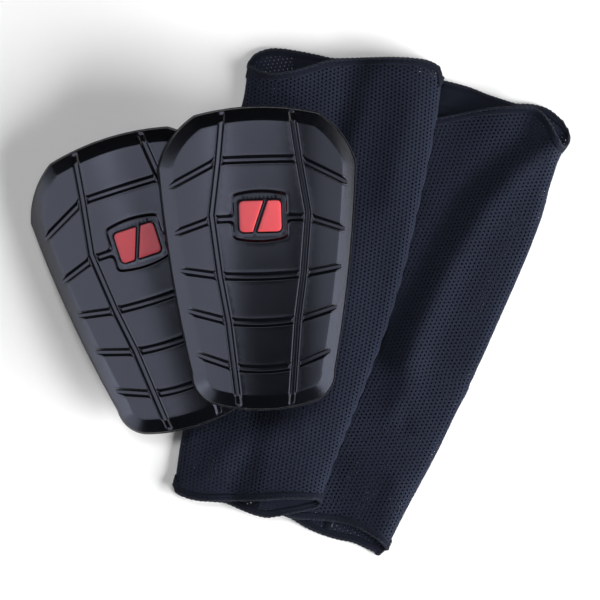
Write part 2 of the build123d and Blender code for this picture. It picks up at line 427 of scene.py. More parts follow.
def knit_cloth(name, colour, wale, course, depth, spread, sheen):
    """Knitted cloth: rows of loops along the cloth, a little uneven, with a soft sheen. Its colour is
    partly random tone and partly painted shade, darker in the valleys between the loops.
    """
    nodes = Nodes(name, colour, 0.78, specular=0.12)
    nodes.shader.inputs["Sheen Weight"].default_value = sheen
    nodes.shader.inputs["Sheen Roughness"].default_value = 0.5
    across, along = nodes.cloth_phases(wale, course)
    ribs = nodes.ridges(nodes.math("MULTIPLY", across, 0.5))
    legs = nodes.math("SINE", nodes.math("MULTIPLY_ADD", ribs, 2.4, along))
    fuzz = nodes.noise(1500, detail=3)
    loops = nodes.math("MULTIPLY_ADD", legs, 0.35, ribs)
    height = nodes.math("MULTIPLY_ADD", fuzz, 0.5, loops)
    darker, lighter = tints(colour, spread)
    # Colour: random patches of tone, plus painted shade that darkens the valleys between the loops and
    # lightens their tops.
    tone_and_loop_shade = nodes.math("MULTIPLY_ADD", nodes.noise(35, detail=5), 0.7, nodes.math("MULTIPLY", loops, 0.3))
    nodes.drive("Base Color", nodes.ramp(tone_and_loop_shade, [(0.25, darker), (0.75, lighter)]))
    nodes.drive("Roughness", nodes.range(fuzz, 0.68, 0.88))
    nodes.bump(height, depth)
    return nodes.material


def twisted_thread(name, colour):
    """Overlock thread: fine plies laid at an angle round the edge, with painted shade in the grooves
    between the plies.
    """
    nodes = Nodes(name, colour, 0.6, specular=0.2)
    nodes.shader.inputs["Sheen Weight"].default_value = 0.05
    across, along = nodes.cloth_phases(0.55, 0.8)
    plies = nodes.ridges(nodes.math("ADD", along, across))
    darker, lighter = tints(colour, 0.45)
    # Painted shade: the colour follows the plies' bump, darker in the grooves between them and lighter on
    # their ridges.
    nodes.drive("Base Color", nodes.ramp(plies, [(0.1, darker), (0.9, lighter)]))
    fuzz = nodes.noise(2200, detail=2)
    nodes.bump(nodes.math("MULTIPLY_ADD", fuzz, 0.4, plies), 0.0002)
    return nodes.material


def closed_cell_foam(name, colour):
    """Foam sheet with small closed cells, with painted shade that darkens each cell's hollow."""
    nodes = Nodes(name, colour, 0.9, specular=0.15)
    cells = nodes.add("ShaderNodeTexVoronoi", Scale=1100.0)
    nodes.set(cells, "Vector", nodes.own_place())
    darker, lighter = tints(colour, 0.3)
    # Painted shade: the colour follows the cells' bump, darker in each cell's hollow and lighter on the
    # walls.
    nodes.drive("Base Color", nodes.ramp(cells.outputs["Distance"], [(0.1, darker), (0.7, lighter)]))
    nodes.bump(cells.outputs["Distance"], 0.0003)
    return nodes.material


shell_plastic = moulded_plastic("shell_plastic", (0.0012, 0.0014, 0.0022), 0.24, 0.00002, 0.12)
badge_plastic = moulded_plastic("badge_plastic", (0.51, 0.052, 0.057), 0.45, 0.00003, 0.05)
liner_cloth = knit_cloth("liner_cloth", (0.008, 0.0085, 0.011), 1.1, 0.8, 0.0002, 0.25, 0.06)
mesh_cloth = knit_cloth("mesh_cloth", (0.0110, 0.0134, 0.0230), 0.62, 0.5, 0.00005, 0.14, 0.04)
hem_cloth = knit_cloth("hem_cloth", (0.006, 0.0072, 0.0125), 0.9, 0.7, 0.0002, 0.3, 0.03)
# The pocket panel's own cloth colour, made darker than the sleeve cloth as painted shade for the inside of
# the tube, which is seen through the holes and the mouths.
shade_darkened_panel_cloth = knit_cloth("shade_darkened_panel_cloth", (0.006, 0.0072, 0.0125), 0.45, 0.4, 0.00008, 0.2, 0.03)
thread = twisted_thread("thread", (0.0075, 0.009, 0.0155))
foam = closed_cell_foam("foam", (0.05, 0.05, 0.055))


# ------------------------------------------------------------------ guards

def guard_outline(spacing):
    """The plan outline, counterclockwise."""
    bottom = (mirrored(BOTTOM_CORNER), BOTTOM_MIDDLE, BOTTOM_CORNER)
    top = (TOP_CORNER, TOP_MIDDLE, mirrored(TOP_CORNER))
    right = [
        (BOTTOM_CORNER, LOWER_CORNER, LOWER_SIDE),
        (LOWER_SIDE, SIDE_MIDDLE, SHOULDER),
        (SHOULDER, SLANT_MIDDLE, TOP_CORNER),
    ]
    left = [[mirrored(point) for point in arc[::-1]] for arc in right[::-1]]
    return np.vstack([arc_points(*arc, spacing) for arc in (bottom, *right, top, *left)])


def face_height(points, depth):
    """Height of the guard's doubly curved face at a depth under its front."""
    along = np.sqrt((SHIN_RADIUS - depth) ** 2 - points[:, 1] ** 2) - SHIN_RADIUS
    return np.sqrt((along + CROWN_RADIUS) ** 2 - points[:, 0] ** 2) - CROWN_RADIUS


def on_face(points, depth):
    return np.column_stack([points, face_height(points, depth)])


def recess_loop():
    """Outline of the badge recess: a rounded rectangle whose top and bottom are arched."""
    top = BADGE_CENTRE + RECESS_HALF_HEIGHT
    bottom = BADGE_CENTRE - RECESS_HALF_HEIGHT
    arch = np.linspace(-1, 1, 9)[1:-1]
    rise = RECESS_RISE * (1 - arch**2)
    upper = list(zip(-arch * RECESS_HALF_WIDTH, top + rise))
    lower = list(zip(arch * RECESS_HALF_WIDTH, bottom - rise))
    corners = [(-RECESS_HALF_WIDTH, bottom), *lower, (RECESS_HALF_WIDTH, bottom)]
    corners += [(RECESS_HALF_WIDTH, top), *upper, (-RECESS_HALF_WIDTH, top)]
    radii = [RECESS_CORNER if abs(x) == RECESS_HALF_WIDTH else 0.01 for x, y in corners]
    return rounded_polygon(corners, radii)


def inlay_outline(side):
    """Plan outline of one half of the mark. side is 1 for the right half, -1 for the left."""
    half_width, half_height = INLAY_WIDTH / 2, INLAY_HEIGHT / 2
    gap = INLAY_GAP / 2 / math.cos(INLAY_SLANT)
    lean = half_height * math.tan(INLAY_SLANT)
    corners = [
        (side * gap - lean, -half_height),
        (side * half_width, -half_height),
        (side * half_width, half_height),
        (side * gap + lean, half_height),
    ]
    radii = [0.7, INLAY_CORNER, INLAY_CORNER, 0.7]
    return rounded_polygon(corners[::side], radii) + (0, BADGE_CENTRE)


def groove_lines():
    """Centre lines of the two columns, and of all the rows."""
    columns = [np.array([side(p) for p in COLUMN_GROOVE]) for side in (tuple, mirrored)]
    rows = []
    for inner, outer, middle in ROWS:
        rows += [np.array([side(inner), side(outer)]) for side in (tuple, mirrored)]
        if middle is None:
            end = (RECESS_HALF_WIDTH, STUB_HEIGHT)
            rows += [np.array([side(inner), side(end)]) for side in (tuple, mirrored)]
        else:
            arc = arc_points(mirrored(inner), (0, middle), inner, 3.0)
            rows.append(np.vstack([arc, [inner]]))
    return columns, rows


OUTLINE = guard_outline(1.0)
COLUMN_LINES, ROW_LINES = groove_lines()
RECESS = recess_loop()
INLAYS = [inlay_outline(side) for side in (-1, 1)]


def edge_distance(points):
    """Distance inward from the guard's outline."""
    return -loop_distance(points, OUTLINE)


def column_distance(points):
    return np.minimum(*[line_distance(points, line) for line in COLUMN_LINES]) - GROOVE_HALF_WIDTH


def row_distance(points):
    """Distance from the middle of the nearest wall of a row or the badge recess, negative towards its
    floor. Rows end, rounded, just short of the columns."""
    distance = loop_distance(points, RECESS)
    for line in ROW_LINES:
        distance = smooth_min(distance, line_distance(points, line) - GROOVE_HALF_WIDTH, GROOVE_BLEND)
    return -smooth_min(-distance, column_distance(points) - ROW_END_GAP, 0.8)


def groove_distance(points):
    """Distance from the middle of the nearest groove wall, negative towards the groove's floor."""
    return np.minimum(row_distance(points), column_distance(points))


def moat_distance(points):
    """Distance from the middle of the narrow moat that runs round each inlay."""
    return np.minimum(*[np.abs(loop_distance(points, loop) - MOAT_OFFSET) for loop in INLAYS])


def wall(distance):
    """1 on a groove's floor, 0 outside the groove, with a rounded wall between."""
    return 1 - smoothstep(-WALL_HALF_WIDTH, WALL_HALF_WIDTH, distance)


def shell_depth(points):
    """Depth of the shell's moulded surface under the plain front face."""
    edge = edge_distance(points)
    fall = (BEVEL_WIDTH - edge) * BEVEL_DROP / BEVEL_WIDTH
    bevel = 0.5 * (fall + np.sqrt(fall**2 + 0.02))
    over_rim = np.clip(RIM_RADIUS - edge, 0, RIM_RADIUS)
    rim = bevel + RIM_RADIUS - np.sqrt(RIM_RADIUS**2 - over_rim**2)
    groove = groove_distance(points)
    moat = MOAT_DEPTH * bump(moat_distance(points) / MOAT_HALF_WIDTH)
    rows = GROOVE_DEPTH * wall(row_distance(points)) + moat
    column_floor = np.maximum(GROOVE_DEPTH, rim + COLUMN_STEP)
    columns = rim + (column_floor - rim) * wall(column_distance(points)) * smoothstep(0.6, 3.0, edge)
    lip = LIP_HEIGHT * bump((groove - LIP_OFFSET) / LIP_HALF_WIDTH) * smoothstep(1.5, 0, bevel)
    return np.maximum(np.maximum(rim, rows), columns) - lip


def contour_lines(field, level, low, step):
    """Polylines along which a gridded field has the level. field[i, j] is at low + (i, j) * step."""
    above = field > level
    columns, rows = field.shape
    index = np.arange(field.size).reshape(field.shape)
    across = above[:-1, :] != above[1:, :]
    upward = above[:, :-1] != above[:, 1:]
    # A crossing is named after the grid point before it: even on a side that runs across, else odd.
    crossed = np.stack([across[:, :-1], upward[1:, :], across[:, 1:], upward[:-1, :]], axis=-1)
    corner = 2 * index[:-1, :-1]
    names = np.stack([corner, 2 * index[1:, :-1] + 1, 2 * index[:-1, 1:], corner + 1], axis=-1)
    near = {}
    for i, j in np.argwhere(crossed.any(-1)):
        ends = names[i, j][crossed[i, j]].tolist()
        for a, b in zip(ends[::2], ends[1::2]):
            near.setdefault(a, []).append(b)
            near.setdefault(b, []).append(a)

    def place(name):
        i, j = divmod(name // 2, rows)
        di, dj = (0, 1) if name % 2 else (1, 0)
        t = (level - field[i, j]) / (field[i + di, j + dj] - field[i, j])
        return (low[0] + (i + t * di) * step, low[1] + (j + t * dj) * step)

    lines = []
    starts = [name for name in near if len(near[name]) == 1] + list(near)
    used = set()
    for start in starts:
        if start in used:
            continue
        chain = [start]
        used.add(start)
        while onward := [name for name in near[chain[-1]] if name not in used]:
            chain.append(onward[0])
            used.add(onward[0])
        if chain[0] in near[chain[-1]] and len(chain) > 2:
            chain.append(chain[0])
        if len(chain) > 3:
            lines.append(np.array([place(name) for name in chain]))
    return lines


def respaced(line, spacing):
    """The polyline with evenly spaced points."""
    lengths = np.concatenate([[0], np.cumsum(np.linalg.norm(np.diff(line, axis=0), axis=1))])
    places = np.linspace(0, lengths[-1], max(3, round(lengths[-1] / spacing)) + 1)
    return np.column_stack([np.interp(places, lengths, line[:, k]) for k in (0, 1)])


def shell_surface():
    """Points and triangles of the moulded front: they follow the grooves' walls, the bevel and the rim."""
    step = 0.4
    low = np.array([-66.0, -99.0])
    counts = (331, 491)
    i, j = np.mgrid[0 : counts[0], 0 : counts[1]].reshape(2, -1)
    grid = low + np.column_stack([i, j]) * step
    wall_levels = np.linspace(-WALL_HALF_WIDTH, WALL_HALF_WIDTH, 7)
    lip_levels = (LIP_OFFSET, LIP_OFFSET + LIP_HALF_WIDTH)
    bevel_levels = (0.06, 0.22, 0.45, 0.9, 3.2, 5.5, BEVEL_WIDTH - 0.3, BEVEL_WIDTH, BEVEL_WIDTH + 0.3)
    lines = []
    for distance, levels, spacing in (
        (groove_distance, (*wall_levels, *lip_levels), 0.65),
        (moat_distance, (0.2, MOAT_HALF_WIDTH), 0.65),
        (edge_distance, bevel_levels, 1.0),
    ):
        field = distance(grid).reshape(counts)
        for level in levels:
            lines += [respaced(line, spacing) for line in contour_lines(field, level, low, step)]
    scattered = hex_points(low, -low, 2.4)
    clear = np.abs(groove_distance(scattered) - 0.4) > 1.7
    scattered = scattered[clear & (edge_distance(scattered) > 1.5)]
    points = [OUTLINE]
    joins = loop_edges(0, len(OUTLINE))
    count = len(OUTLINE)
    for line in lines:
        points.append(line)
        joins += [(count + k, count + k + 1) for k in range(len(line) - 1)]
        count += len(line)
    flat, triangles = triangulate(np.vstack([*points, scattered]), joins)
    kept = inside(flat[triangles].mean(1), OUTLINE)
    return flat, triangles[kept]


def surface_normals(points, height):
    """Unit normals of z = height(points), by small differences."""
    nudge = 0.04
    across, up = np.array([nudge, 0]), np.array([0, nudge])
    slope_x = (height(points + across) - height(points - across)) / (2 * nudge)
    slope_y = (height(points + up) - height(points - up)) / (2 * nudge)
    normals = np.column_stack([-slope_x, -slope_y, np.ones(len(points))])
    return normals / np.linalg.norm(normals, axis=1)[:, None]


def rim_order(triangles):
    """The boundary points of a patch of triangles, in order round it."""
    pairs = np.concatenate([triangles[:, [0, 1]], triangles[:, [1, 2]], triangles[:, [2, 0]]])
    directed = set(map(tuple, pairs.tolist()))
    onward = {a: b for a, b in directed if (b, a) not in directed}
    order = [next(iter(onward))]
    while onward[order[-1]] != order[0]:
        order.append(onward[order[-1]])
    return np.array(order)


def build_shell_mesh():
    """The whole shell: the moulded front, the rim down to the liner, and the pocket for the foam."""
    flat, triangles = shell_surface()
    used, triangles = np.unique(triangles, return_inverse=True)
    flat, triangles = flat[used], triangles.reshape(-1, 3)

    def height(points):
        return face_height(points, shell_depth(points))

    rim = rim_order(triangles)
    rim_loop = flat[rim]
    pocket_loop = respaced_loop(moved_in(OUTLINE, FOAM_INSET), 1.5)
    under, under_triangles = triangulate(
        np.vstack([rim_loop, pocket_loop]),
        loop_edges(0, len(rim_loop)) + loop_edges(len(rim_loop), len(pocket_loop)),
    )
    centres = under[under_triangles].mean(1)
    flange = under_triangles[inside(centres, rim_loop) & ~inside(centres, pocket_loop)]
    ceiling, ceiling_triangles = filled(pocket_loop, 6.0)

    front_count = len(flat)
    under_start = front_count
    ceiling_start = under_start + len(under)
    points = np.vstack([
        on_face(flat, shell_depth(flat)),
        on_face(under, LINER_DEPTH),
        on_face(ceiling, FOAM_DEPTH),
    ])
    side = skirt(rim, under_start + np.arange(len(rim)))
    pocket_points = np.arange(len(pocket_loop))
    pocket_wall = skirt(under_start + len(rim) + pocket_points, ceiling_start + pocket_points)[:, ::-1]
    faces = [*triangles, *side]
    smooth_count = len(faces)
    faces += [*(flange[:, ::-1] + under_start), *pocket_wall, *(ceiling_triangles[:, ::-1] + ceiling_start)]
    normals = np.zeros_like(points)
    normals[:front_count] = surface_normals(flat, height)
    normals[rim] = 0
    return points, faces, normals, smooth_count


def respaced_loop(loop, spacing):
    return respaced(np.vstack([loop, loop[:1]]), spacing)[:-1]


def filled(loop, spacing):
    """Points and triangles that fill a loop. The loop's own points come first."""
    scattered = hex_points(loop.min(0), loop.max(0), spacing)
    scattered = scattered[loop_distance(scattered, loop) < -spacing * 0.45]
    points, triangles = triangulate(np.vstack([loop, scattered]), loop_edges(0, len(loop)))
    return points, triangles[inside(points[triangles].mean(1), loop)]


def build_plate(loop, top, bottom, spacing, lean=0.5):
    """A closed plate that follows the guard's face, between two depths, with a rounded edge."""
    half = (bottom - top) / 2
    turns = np.linspace(math.pi / 2, -math.pi / 2, 7)
    rings = [(half * lean * (1 - math.cos(t)), top + half * (1 - math.sin(t))) for t in turns]
    cap, cap_triangles = filled(moved_in(loop, rings[0][0]), spacing)
    count = len(loop)
    points = [on_face(cap, top)]
    points += [on_face(moved_in(loop, inset), depth) for inset, depth in rings[1:-1]]
    points.append(on_face(cap, bottom))
    starts = [0] + [len(cap) + k * count for k in range(len(rings) - 1)]
    round_it = np.arange(count)
    faces = list(cap_triangles)
    for upper, lower in zip(starts[:-1], starts[1:]):
        faces += list(skirt(upper + round_it, lower + round_it))
    faces += list(cap_triangles[:, ::-1] + starts[-1])
    return np.vstack(points), faces


def guard_place(body):
    """Where a guard's own frame lies: its shin seat is on the liner, straight under the crown."""
    mounts = {mount["name"]: mount for mount in frame["record"]["mounts"]}
    crown = Vector(mounts[body + "_shin_seat"]["pos_m"]) + Vector((0, 0, GUARD_THICKNESS * MM))
    turn, roll = (math.radians(angle) for angle in GUARD_TURNS[body])
    return Matrix.Translation(crown) @ Matrix.Rotation(turn, 4, "Z") @ Matrix.Rotation(roll, 4, "Y")


def make_guards():
    shell_points, shell_faces, shell_normals, smooth_count = build_shell_mesh()
    liner_loop = moved_in(OUTLINE, -LINER_OVERHANG)
    liner_points, liner_faces = build_plate(liner_loop, LINER_DEPTH + 0.02, GUARD_THICKNESS, 3.0, 1.0)
    foam_loop = respaced_loop(moved_in(OUTLINE, FOAM_INSET + 0.3), 1.5)
    foam_points, foam_faces = build_plate(foam_loop, FOAM_DEPTH + 0.1, LINER_DEPTH - 0.05, 4.0)
    halves = {
        name: build_plate(respaced_loop(outline, 0.5), INLAY_DEPTH, GROOVE_DEPTH, 2.0, 0.8)
        for name, outline in zip(("left_inlay", "right_inlay"), INLAYS)
    }
    for body in GUARD_TURNS:
        place = guard_place(body)
        shell = make_piece(
            body, "shell", shell_points, shell_faces, place, shell_plastic,
            normals=shell_normals, flat_from=smooth_count,
        )
        liner = make_piece(
            body, "liner", liner_points, liner_faces, place, liner_cloth,
            uvs=liner_points[:, :2],
        )
        core = make_piece(body, "foam_core", foam_points, foam_faces, place, foam)
        for name, (points, faces) in halves.items():
            make_piece(body, name, points, faces, place, badge_plastic)


# ------------------------------------------------------------------ sleeves

class Sleeve:
    """A pressed tube of cloth: a back and a front layer, joined round a tight fold at each side.
    On the cloth, p runs round the tube from the front's middle and v runs up the leg."""

    # The cloth's shape is worked out once, on a grid: up the leg, and round the tube.
    v_step, p_step = 2.0, 0.5
    grid_v = np.arange(-154.0, 155.0, v_step)
    grid_p = np.arange(-136.0, 136.5, p_step)

    def __init__(self, body, mouth_place, mouths, gapes, folds, bulges, under=None):
        self.body = body
        self.mouths = mouths
        self.gapes = gapes
        self.folds = [(np.array(line), width, height) for line, width, height in folds]
        self.bulges = bulges
        self.under = under
        mounts = {mount["name"]: mount for mount in frame["record"]["mounts"]}
        mount = mounts[body + "_leg_mouth"]
        up = Vector(mount["axis"])
        across = up.cross(Vector((0, 0, 1)))
        origin = Vector(mount["pos_m"]) - (across * mouth_place[0] + up * mouth_place[1]) * MM
        origin.z = 0
        turn = Matrix((across, up, (0, 0, 1))).transposed().to_4x4()
        self.place = Matrix.Translation(origin) @ turn
        self.support = self.lie_on(under) if under else None
        self.lay_out_cloth()

    def sides(self, v):
        """Where the left and right folds are at a height up the leg."""
        half = (TOP_HALF_WIDTH + ANKLE_HALF_WIDTH) / 2
        half = half + (TOP_HALF_WIDTH - ANKLE_HALF_WIDTH) / (2 * HALF_LENGTH) * v
        left_bulge, right_bulge = (curve_through(knots, v) for knots in self.bulges)
        return -half - left_bulge, half + right_bulge

    def mouth_line(self, layer, end, u):
        """Height up the leg of the mouth's outer edge, across the sleeve."""
        return curve_through(self.mouths[end, layer], u)

    def layers(self, u, v):
        """Heights of the middles of the back and the front layer, as if there were no side folds."""
        left, right = self.sides(v)
        inward = np.clip(np.minimum(u - left, right - u), 0, None)
        below_top = self.mouth_line("back", "top", u) - v
        above_ankle = v - self.mouth_line("back", "ankle", u)
        to_mouth = np.minimum(below_top, above_ankle)
        back = MESH_LIFT + MOUTH_LIFT * np.exp(-np.clip(to_mouth, 0, None) / MOUTH_LIFT_REACH)
        if self.support is not None:
            back = back + self.height_under(u, v)
        loft = SIDE_LOFT + MIDDLE_LOFT * (1 - np.exp(-inward / LOFT_REACH))
        points = np.column_stack([u, v])
        # Slow, shallow waves, then the folds and the open mouths
        loft = loft + 0.35 * np.sin(u / 9 + v / 31) + 0.3 * np.sin(v / 17 - u / 23)
        for line, width, height in self.folds:
            loft = loft + height * np.exp(-((line_distance(points, line) / width) ** 2))
        for end, middle, half_width, height, length in self.gapes:
            to_edge = np.abs(self.mouth_line("front", end, u) - v)
            loft = loft + height * bump((u - middle) / half_width) * np.exp(-to_edge / length)
        loft = np.maximum(loft, LEAST_LOFT) * smoothstep(-3, 9, inward + 3)
        return back, back + loft

    def top_height(self, u, v):
        """Height of the upper side of the front layer, or 0 outside the sleeve."""
        left, right = self.sides(v)
        inward = np.minimum(u - left, right - u)
        back, front = self.layers(u, v)
        round_fold = np.sqrt(1 - (1 - np.clip(inward / FOLD_RADIUS, 0, 1)) ** 2)
        top = (front + back) / 2 + (front - back) / 2 * round_fold + 0.4
        on_cloth = (inward > 0) & (v < self.mouth_line("back", "top", u))
        on_cloth &= v > self.mouth_line("back", "ankle", u)
        return np.where(on_cloth, top, 0)

    def lie_on(self, other):
        """Heights, on a grid in this sleeve's frame, of a smooth drape over the other sleeve."""
        self.support_low, self.support_step = (-70.0, -160.0), 2.0
        u, v = np.mgrid[-70:72:2, -160:162:2].astype(float)
        to_other = np.array(other.place.inverted() @ self.place)
        flat = np.column_stack([u.ravel(), v.ravel()])
        there = flat @ to_other[:2, :2].T + to_other[:2, 3] / MM
        under = other.top_height(*there.T).reshape(u.shape)
        block = [(i, j) for i in (-1, 0, 1) for j in (-1, 0, 1)]
        for _ in range(2):
            under = np.max(neighbours(under, block), axis=0)
        for _ in range(9):
            under = np.mean(neighbours(under, [(-1, 0), (0, 0), (0, 0), (1, 0)]), axis=0)
            under = np.mean(neighbours(under, [(0, -1), (0, 0), (0, 0), (0, 1)]), axis=0)
        return under

    def height_under(self, u, v):
        low_u, low_v = self.support_low
        return sampled(self.support, (u - low_u) / self.support_step, (v - low_v) / self.support_step)

    def section(self, v):
        """Points round the tube at a height up the leg, from the back seam over the left fold and the
        front to the right fold and back to the seam, with the index of the front's middle."""
        left, right = self.sides(np.array(v))
        turns = np.linspace(0, math.pi / 2, 7)[:-1]
        inset = FOLD_RADIUS * (1 - np.cos(turns))
        inner = np.linspace(left + FOLD_RADIUS, right - FOLD_RADIUS, 91)
        u = np.concatenate([left + inset, inner, (right - inset)[::-1]])
        fold = np.concatenate([np.sin(turns), np.ones(len(inner)), np.sin(turns)[::-1]])
        back, front = self.layers(u, np.full(len(u), float(v)))
        middle, half = (front + back) / 2, (front - back) / 2
        upper, lower = middle + half * fold, middle - half * fold
        seam = np.searchsorted(u, SEAM_X)

        def around(at_seam, below, above):
            return np.concatenate([[at_seam], below[1:seam][::-1], above, below[seam:-1][::-1], [at_seam]])

        seam_height = np.interp(SEAM_X, u, lower)
        return around(SEAM_X, u, u), around(seam_height, lower, upper), seam + len(u) // 2

    def lay_out_cloth(self):
        """Tables of u and z over the cloth's own p and v, and where the cloth ends."""
        shape = len(self.grid_v), len(self.grid_p)
        self.across, self.height = np.zeros(shape), np.zeros(shape)
        self.ends = np.zeros((2, len(self.grid_v)))
        self.half_front = np.zeros(len(self.grid_v))
        for row, v in enumerate(self.grid_v):
            u, z, centre = self.section(v)
            along = np.concatenate([[0], np.cumsum(np.hypot(np.diff(u), np.diff(z)))])
            along -= along[centre]
            self.across[row] = np.interp(self.grid_p, along, u)
            self.height[row] = np.interp(self.grid_p, along, z)
            self.ends[:, row] = along[0], along[-1]
            self.half_front[row] = along[np.argmax(u)]
        self.edges = {}
        for end, v in (("top", MOUTH_ROW), ("ankle", -MOUTH_ROW)):
            row = np.searchsorted(self.grid_v, v)
            on_front = np.abs(self.grid_p) < self.half_front[row]
            front, back = (self.mouth_line(layer, end, self.across[row]) for layer in ("front", "back"))
            self.edges[end] = np.where(on_front, front, back)

    def edge(self, end, p):
        """Height up the leg at which the cloth ends."""
        return np.interp(p, self.grid_p, self.edges[end])

    def edge_stretch(self, end, p):
        """How much longer a step in from the mouth's edge is up the leg than square to the edge."""
        slope = (self.edge(end, p + 1) - self.edge(end, p - 1)) / 2
        return np.minimum(np.sqrt(1 + slope * slope), 3)

    def cloth_ends(self, v):
        """How far round the tube, both ways, the cloth reaches from the front's middle to the seam."""
        return [np.interp(v, self.grid_v, end) for end in self.ends]

    def fold_place(self, v):
        """How far round the tube the side folds are from the front's middle."""
        return np.interp(v, self.grid_v, self.half_front)

    def surface(self, p, v):
        """Points on the cloth."""
        row = (v - self.grid_v[0]) / self.v_step
        column = (p - self.grid_p[0]) / self.p_step
        return np.column_stack([sampled(self.across, row, column), v, sampled(self.height, row, column)])

    def outward(self, p, v):
        """Unit normals of the cloth, away from the leg."""
        round_it = self.surface(p + 0.6, v) - self.surface(p - 0.6, v)
        up = self.surface(p, v + 1.5) - self.surface(p, v - 1.5)
        normals = np.cross(round_it, up)
        return normals / np.linalg.norm(normals, axis=1)[:, None]


def neighbours(table, offsets):
    """The table moved by each offset, with the values at its edges carried outward."""
    around = np.pad(table, 1, mode="edge")
    rows, columns = table.shape
    return [around[1 + i : 1 + i + rows, 1 + j : 1 + j + columns] for i, j in offsets]


def sampled(table, row, column):
    """Values of a table between its entries."""
    row = np.clip(row, 0, table.shape[0] - 1.001)
    column = np.clip(column, 0, table.shape[1] - 1.001)
    i, j = row.astype(int), column.astype(int)
    a, b = row - i, column - j
    return (
        (1 - a) * (1 - b) * table[i, j]
        + a * (1 - b) * table[i + 1, j]
        + (1 - a) * b * table[i, j + 1]
        + a * b * table[i + 1, j + 1]
    )


def perforated_cloth(sleeve, lean):
    """The cloth with its holes: columns of small hexagonal holes up the leg, each column half a row from
    the next, and faces that join the holes' corners. lean turns the columns a little on the cloth."""
    turn = math.radians(lean)
    across = HOLE_COLUMN_STEP * np.array([math.cos(turn), math.sin(turn)])
    along = HOLE_ROW_STEP * np.array([-math.sin(turn), math.cos(turn)])
    reach = 130
    a, b = np.mgrid[-reach : reach + 1, -reach : reach + 1]
    centres = (a + b)[..., None] * across + (b - a)[..., None] * along / 2
    p, v = centres[..., 0], centres[..., 1]
    low, high = sleeve.cloth_ends(v)
    kept = (p > low + 0.3) & (p < high - 0.3)
    for end, inward in (("top", -1), ("ankle", 1)):
        kept &= (v - sleeve.edge(end, p)) * inward > 1.2 * sleeve.edge_stretch(end, p)
    name = np.full(a.shape, -1)
    name[kept] = np.arange(kept.sum())
    corner_turns = turn + np.arange(6) * math.pi / 3
    corners = np.stack([np.cos(corner_turns), np.sin(corner_turns)], axis=1)
    # The back layer is stretched less, so its holes are smaller, most of all towards the side folds.
    behind_fold = np.abs(p[kept]) - sleeve.fold_place(v[kept])
    more_closed = (SIDE_HOLE_CLOSING - BACK_HOLE_CLOSING) * smoothstep(14, 5, behind_fold)
    closed = BACK_HOLE_CLOSING + more_closed
    radius = HOLE_RADIUS * (1 - closed * smoothstep(-4, -1, behind_fold))
    flat = (centres[kept][:, None, :] + radius[:, None, None] * corners).reshape(-1, 2)

    def beside(di, dj):
        return np.roll(name, (-di, -dj), (0, 1))[kept]

    own = np.arange(kept.sum())
    around = beside(1, 0), beside(0, 1), beside(-1, 1)
    faces = []
    # A hole's corners run counterclockwise, and corner 0 points midway between its first two neighbours.
    for turned, other in enumerate(around):
        there = other >= 0
        quad = [6 * own + (turned + 5) % 6, 6 * other + (turned + 3) % 6,
                6 * other + (turned + 2) % 6, 6 * own + turned % 6]
        faces += np.stack(quad, axis=1)[there].tolist()
    for turned in (0, 1):
        second, third = around[turned], around[turned + 1]
        there = (second >= 0) & (third >= 0)
        corner = [6 * own + turned, 6 * second + turned + 2, 6 * third + (turned + 4) % 6]
        faces += np.stack(corner, axis=1)[there].tolist()
    return sleeve.surface(*flat.T), faces, flat


def mouth_band(sleeve, end, profile, spacing, twist=None):
    """A closed band swept round a mouth. The profile holds pairs of how far inside the mouth, and how far
    off the cloth. twist, if given, turns the pair into a wavy one for each place p along the mouth."""
    low, high = sleeve.cloth_ends(MOUTH_ROW if end == "top" else -MOUTH_ROW)
    count = int(round((high - low) / spacing))
    p = low + (high - low) * np.arange(count) / count
    inward = -1 if end == "top" else 1
    rings, uvs = [], []
    for index, (inside_edge, off) in enumerate(profile):
        pair = (np.full(count, inside_edge), np.full(count, off)) if twist is None else twist(index, p)
        v = sleeve.edge(end, p) + inward * pair[0] * sleeve.edge_stretch(end, p)
        # The ends meet at the seam, wherever the seam is at this height.
        seam_low, seam_high = sleeve.cloth_ends(v)
        shift = smoothstep(low + 30, low, p) * (seam_low - low)
        shift += smoothstep(high - 30, high, p) * (seam_high - high)
        ring = sleeve.surface(p + shift, v) + sleeve.outward(p + shift, v) * pair[1][:, None]
        ring[:, 2] = np.maximum(ring[:, 2], 0.05)
        rings.append(ring)
        uvs.append(np.column_stack([p, np.full(count, 0.6 * index)]))
    points = np.stack(rings, axis=1).reshape(-1, 3)
    uvs = np.stack(uvs, axis=1).reshape(-1, 2)
    faces = strip_faces(count, len(profile), closed_along=True)
    return points, turned_out(points, faces), uvs


# Pairs round the hem band's section: how far inside the mouth's edge, and how far off the cloth
HEM_PROFILE = [
    (1.3, 0.0), (1.4, 0.5), (2.0, 0.68), (2.9, 0.6), (3.7, 0.7), (4.3, 0.5), (4.5, 0.0),
    (4.3, -0.5), (3.7, -0.7), (2.9, -0.6), (2.0, -0.68), (1.4, -0.5),
]
# Pairs round the back seam's section: how far across, and how far off the cloth
SEAM_PROFILE = [
    (-2.1, -0.1), (-1.9, 0.35), (-0.8, 0.7), (0, 0.5), (0.8, 0.7), (1.9, 0.35), (2.1, -0.1), (0, -0.35),
]
ROPE_RADIUS = 0.9
ROPE_STEPS = 12
ROPE_PITCH = 2.9
ROPE_INSET = 0.95


def rope_pair(index, p):
    """Overlock thread wound round the raw edge: a round section whose two lobes turn along the edge."""
    turn = 2 * math.pi * index / ROPE_STEPS
    radius = ROPE_RADIUS * (1 + 0.17 * np.cos(2 * (turn - math.pi * p / ROPE_PITCH)))
    return ROPE_INSET - radius * math.cos(turn), radius * math.sin(turn)


